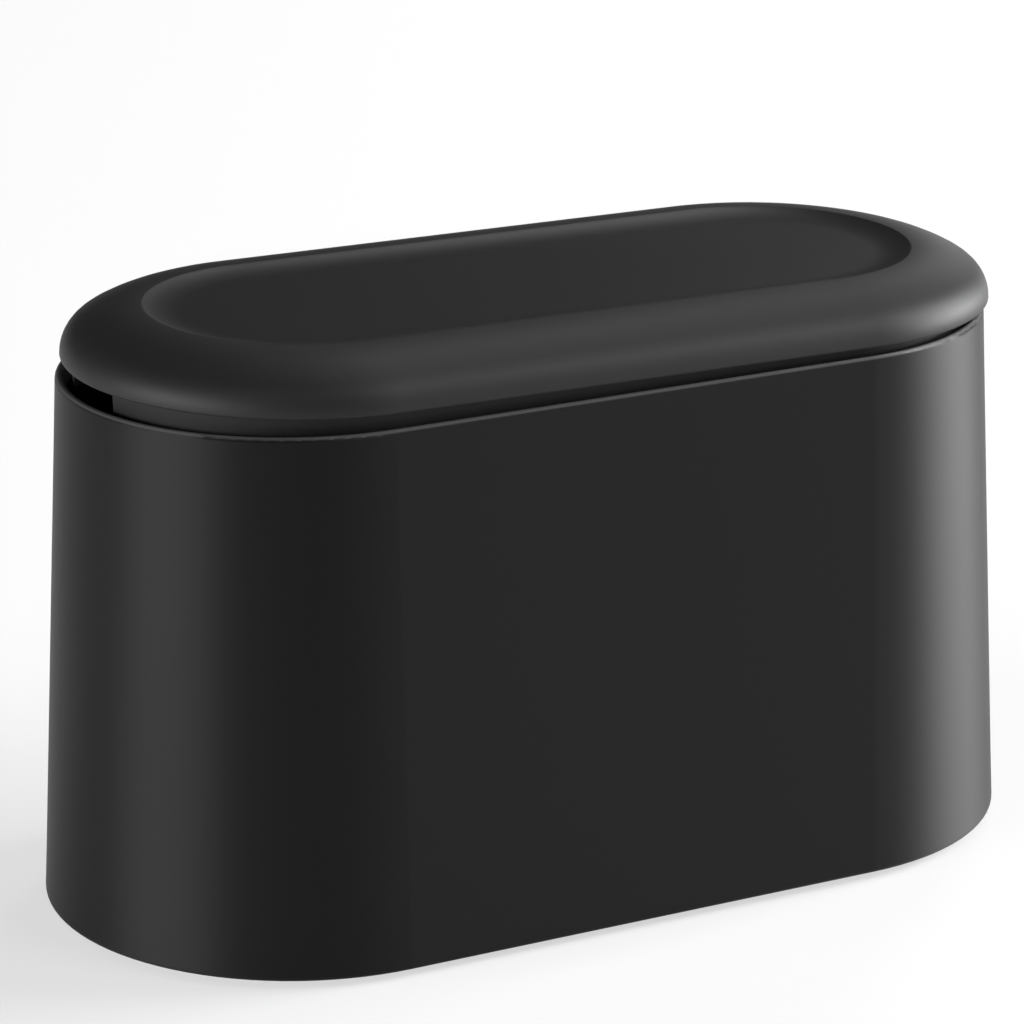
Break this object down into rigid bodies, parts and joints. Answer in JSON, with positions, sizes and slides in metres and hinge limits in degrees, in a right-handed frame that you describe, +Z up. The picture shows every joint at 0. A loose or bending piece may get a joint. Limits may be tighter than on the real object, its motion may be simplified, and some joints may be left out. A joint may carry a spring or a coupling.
{
  "type": "countertop trash can",
  "caption": "Obround countertop trash can: drafted steel shell, lift-out bucket whose collar shows above the rim, and a hinged lid with a rounded crown and a dished top.",
  "frame": {"origin": "on the surface that the can stands on, under the middle of the shell", "axes": "+X along the can towards the lid's hinge, +Y to the back, +Z up"},
  "size_m": [0.2576, 0.1276, 0.1529],
  "materials": {
    "shell_paint": "satin black powder coat on sheet steel",
    "lid_plastic": "satin black moulded plastic",
    "bucket_plastic": "black moulded plastic",
    "pan_plastic": "black moulded plastic",
    "foot_rubber": "matt black rubber",
    "bumper_silicone": "dark grey silicone",
    "hinge_steel": "plain stainless sheet",
    "fastener_steel": "bright zinc-plated steel",
    "bush_nylon": "natural nylon"
  },
  "bodies": {
    "can": {"body_shell": "shell_paint", "base_pan": "pan_plastic", "foot_front_left": "foot_rubber", "foot_front_right": "foot_rubber", "foot_back_left": "foot_rubber", "foot_back_right": "foot_rubber"},
    "bucket": {"inner_bucket": "bucket_plastic", "hinge_leaf_lower": "hinge_steel", "leaf_rivets": "fastener_steel", "hinge_pin": "fastener_steel", "pin_clip_front": "fastener_steel", "pin_clip_back": "fastener_steel"},
    "lid": {"lid_top": "lid_plastic", "lid_liner": "lid_plastic", "liner_screws": "fastener_steel", "lid_bumper_front": "bumper_silicone", "lid_bumper_back": "bumper_silicone", "hinge_leaf_upper": "hinge_steel", "leaf_screws": "fastener_steel", "hinge_bush_front": "bush_nylon", "hinge_bush_back": "bush_nylon"}
  },
  "joints": [
    {"name": "bucket_lift", "type": "slide", "parent": "can", "child": "bucket", "axis": [0, 0, 1], "range_m": [0, 0.14]},
    {"name": "lid_hinge", "type": "hinge", "parent": "bucket", "child": "lid", "pos_m": [0.1196, 0, 0.1404], "axis": [0, 1, 0], "range_deg": [0, 100]}
  ]
}
